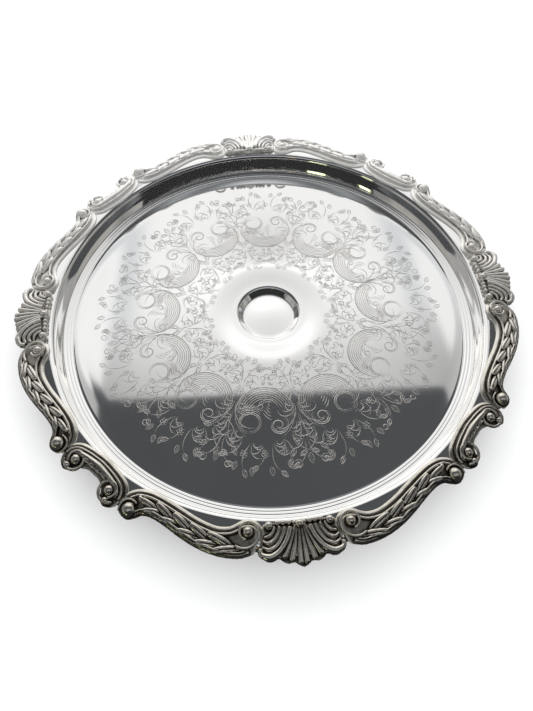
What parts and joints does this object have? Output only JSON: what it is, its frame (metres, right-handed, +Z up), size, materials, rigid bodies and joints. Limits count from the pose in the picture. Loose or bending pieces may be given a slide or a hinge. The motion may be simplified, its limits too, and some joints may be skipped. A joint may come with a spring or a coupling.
{
  "type": "silver salver",
  "caption": "Round plated salver with an engraved mirror plate, a shallow centre recess, a raised wall and a shell-and-scroll border on low scroll feet.",
  "frame": {"origin": "on the table, under the middle of the tray", "axes": "+Z up along the axis of the round plate; -Y towards the front shell and +X towards the right shell"},
  "size_m": [0.32, 0.32, 0.0318],
  "materials": {
    "silver_sheet": "mirror-polished silver plate with fine wear and line engraving",
    "cast_silver": "cast silver plate, bright on the crests and dark with tarnish in the hollows"
  },
  "bodies": {
    "root": {"tray_body": "silver_sheet", "shell_mount_back": "cast_silver", "shell_mount_right": "cast_silver", "shell_mount_front": "cast_silver", "shell_mount_left": "cast_silver", "leaf_scroll_back_right": "cast_silver", "leaf_scroll_back_left": "cast_silver", "leaf_scroll_right_front": "cast_silver", "leaf_scroll_right_back": "cast_silver", "leaf_scroll_front_left": "cast_silver", "leaf_scroll_front_right": "cast_silver", "leaf_scroll_left_back": "cast_silver", "leaf_scroll_left_front": "cast_silver", "c_scroll_back_right": "cast_silver", "c_scroll_right_front": "cast_silver", "c_scroll_front_left": "cast_silver", "c_scroll_left_back": "cast_silver", "foot_back_right": "cast_silver", "foot_right_front": "cast_silver", "foot_front_left": "cast_silver", "foot_left_back": "cast_silver"}
  },
  "joints": []
}
